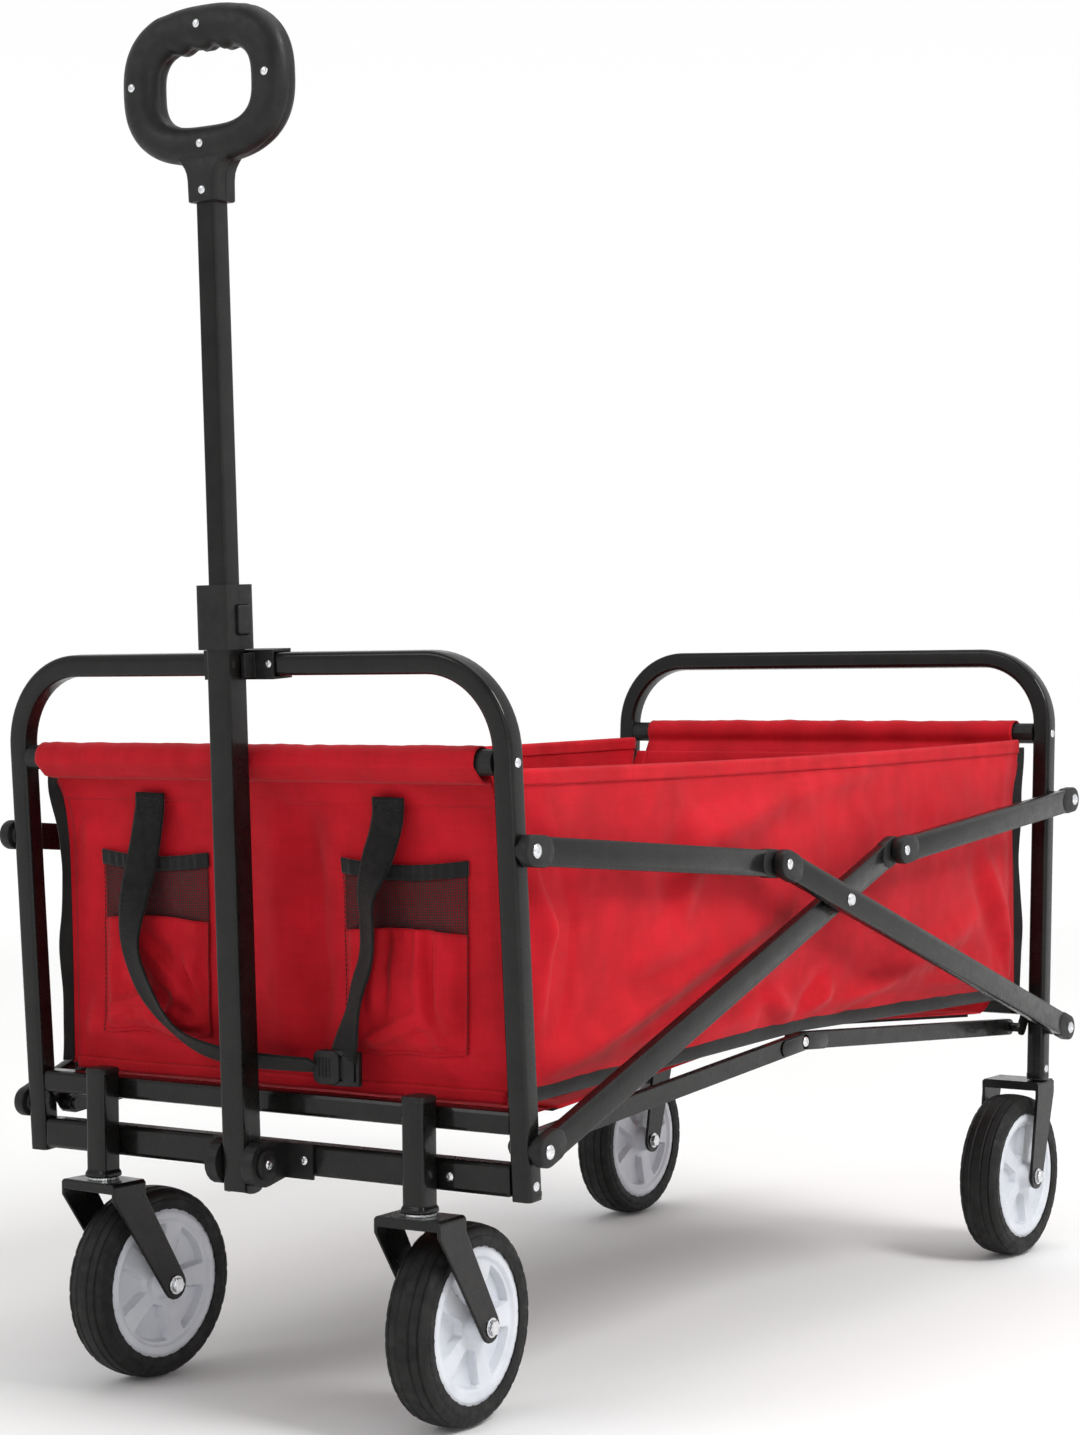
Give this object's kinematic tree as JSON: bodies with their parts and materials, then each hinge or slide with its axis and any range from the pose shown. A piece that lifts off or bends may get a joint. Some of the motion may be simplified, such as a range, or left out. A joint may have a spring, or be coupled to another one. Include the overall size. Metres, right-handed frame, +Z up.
{
  "type": "folding utility wagon",
  "caption": "Folding wagon with an open fabric tub between two bent tube frames, a crossed side linkage, swivel front wheels and a telescopic pull handle.",
  "frame": {"origin": "on the ground, at the middle of the wagon's bounding box", "axes": "+Z up; the handle end is the front and faces -Y; +X is the wagon's own left-hand side"},
  "size_m": [0.4984, 0.9224, 0.9779],
  "materials": {
    "steel": "satin black powder coat",
    "plastic": "fine-grained black moulding",
    "zinc": "bright zinc plating",
    "fabric": "red woven polyester",
    "board": "black covered board",
    "webbing": "black polypropylene webbing",
    "rubber": "matte black moulded tyre",
    "hub": "white moulded hub"
  },
  "bodies": {
    "front_frame": {"front_frame_tube": "steel", "front_cross_bar": "steel", "front_floor_bar": "steel", "front_left_caster_tube": "steel", "front_right_caster_tube": "steel", "front_left_swivel_washer": "zinc", "front_right_swivel_washer": "zinc", "front_bag_rod": "plastic", "bag_front_wall": "fabric", "bag_left_side": "fabric", "bag_right_side": "fabric", "handle_bracket": "plastic", "handle_pivot_bolt": "zinc", "handle_clip": "plastic", "left_strap": "webbing", "right_strap": "webbing", "strap_buckle": "plastic"},
    "scissor_front": {"front_left_scissor_bar": "steel", "front_right_scissor_bar": "steel", "left_centre_rivet": "zinc", "right_centre_rivet": "zinc"},
    "scissor_rear": {"rear_left_scissor_bar": "steel", "rear_right_scissor_bar": "steel"},
    "rear_frame": {"rear_frame_tube": "steel", "rear_floor_bar": "steel", "rear_bag_rod": "plastic", "bag_rear_wall": "fabric", "rear_left_fork": "steel", "rear_right_fork": "steel", "rear_left_axle_bolt": "zinc", "rear_right_axle_bolt": "zinc"},
    "front_links": {"front_left_link": "steel", "front_right_link": "steel"},
    "rear_links": {"rear_left_link": "steel", "rear_right_link": "steel"},
    "front_floor": {"front_left_rail": "steel", "front_right_rail": "steel", "front_floor_panel": "board"},
    "rear_floor": {"rear_left_rail": "steel", "rear_right_rail": "steel", "rear_floor_panel": "board"},
    "handle_lower": {"handle_outer_tube": "steel", "telescope_collar": "plastic"},
    "handle_button": {"collar_button": "plastic"},
    "handle_upper": {"handle_inner_tube": "steel", "grip_front_shell": "plastic", "grip_back_shell": "plastic"},
    "left_caster": {"front_left_fork": "steel", "front_left_axle_bolt": "zinc"},
    "right_caster": {"front_right_fork": "steel", "front_right_axle_bolt": "zinc"},
    "front_left_wheel": {"front_left_tyre": "rubber", "front_left_wheel_hub": "hub"},
    "front_right_wheel": {"front_right_tyre": "rubber", "front_right_wheel_hub": "hub"},
    "rear_left_wheel": {"rear_left_tyre": "rubber", "rear_left_wheel_hub": "hub"},
    "rear_right_wheel": {"rear_right_tyre": "rubber", "rear_right_wheel_hub": "hub"}
  },
  "joints": [
    {"name": "fold", "type": "hinge", "parent": "front_frame", "child": "scissor_front", "pos_m": [0, -0.3921, 0.2], "axis": [1, 0, 0], "range_deg": [0, 53.33], "deforming": ["bag_left_side", "bag_right_side"]},
    {"name": "scissor_centre", "type": "hinge", "parent": "scissor_front", "child": "scissor_rear", "pos_m": [0, 0.0106, 0.34], "axis": [1, 0, 0], "range_deg": [-106.66, 0]},
    {"name": "rear_lower_pivot", "type": "hinge", "parent": "scissor_rear", "child": "rear_frame", "pos_m": [0, 0.4133, 0.2], "axis": [1, 0, 0], "range_deg": [0, 53.33]},
    {"name": "front_link_pivot", "type": "hinge", "parent": "front_frame", "child": "front_links", "pos_m": [0, -0.4041, 0.4], "axis": [1, 0, 0], "range_deg": [0, 74.82]},
    {"name": "rear_link_pivot", "type": "hinge", "parent": "rear_frame", "child": "rear_links", "pos_m": [0, 0.4253, 0.4], "axis": [1, 0, 0], "range_deg": [-74.82, 0]},
    {"name": "front_floor_pivot", "type": "hinge", "parent": "front_frame", "child": "front_floor", "pos_m": [0, -0.3774, 0.199], "axis": [1, 0, 0], "range_deg": [0, 68.77]},
    {"name": "rear_floor_pivot", "type": "hinge", "parent": "rear_frame", "child": "rear_floor", "pos_m": [0, 0.3986, 0.199], "axis": [1, 0, 0], "range_deg": [-68.77, 0]},
    {"name": "handle_pivot", "type": "hinge", "parent": "front_frame", "child": "handle_lower", "pos_m": [0, -0.4232, 0.178], "axis": [1, 0, 0], "range_deg": [0, 97]},
    {"name": "handle_slide", "type": "slide", "parent": "handle_lower", "child": "handle_upper", "axis": [0, -0.0321, 0.9995], "range_m": [-0.24, 0]},
    {"name": "button_press", "type": "slide", "parent": "handle_lower", "child": "handle_button", "axis": [-1, 0, 0], "range_m": [0, 0.003], "stiffness_N_per_m": 400},
    {"name": "left_caster_swivel", "type": "hinge", "parent": "front_frame", "child": "left_caster", "pos_m": [0.1427, -0.4089, 0.152], "axis": [0, 0, 1], "continuous": true},
    {"name": "right_caster_swivel", "type": "hinge", "parent": "front_frame", "child": "right_caster", "pos_m": [-0.1427, -0.4089, 0.152], "axis": [0, 0, 1], "continuous": true},
    {"name": "front_left_wheel_spin", "type": "hinge", "parent": "left_caster", "child": "front_left_wheel", "pos_m": [0.14069, -0.36294, 0.07], "axis": [0.999, 0.0436, 0], "continuous": true},
    {"name": "front_right_wheel_spin", "type": "hinge", "parent": "right_caster", "child": "front_right_wheel", "pos_m": [-0.14001, -0.36298, 0.07], "axis": [0.9983, -0.0584, 0], "continuous": true},
    {"name": "rear_left_wheel_spin", "type": "hinge", "parent": "rear_frame", "child": "rear_left_wheel", "pos_m": [0.1985, 0.39142, 0.07], "axis": [1, 0, 0], "continuous": true},
    {"name": "rear_right_wheel_spin", "type": "hinge", "parent": "rear_frame", "child": "rear_right_wheel", "pos_m": [-0.1985, 0.39142, 0.07], "axis": [1, 0, 0], "continuous": true}
  ],
  "couplings": [
    {"joint": "scissor_centre", "follows": "fold", "ratio": -2},
    {"joint": "rear_lower_pivot", "follows": "fold", "ratio": 1},
    {"joint": "front_link_pivot", "follows": "fold", "ratio": 1.4029},
    {"joint": "rear_link_pivot", "follows": "fold", "ratio": -1.4029},
    {"joint": "front_floor_pivot", "follows": "fold", "ratio": 1.2894},
    {"joint": "rear_floor_pivot", "follows": "fold", "ratio": -1.2894}
  ]
}
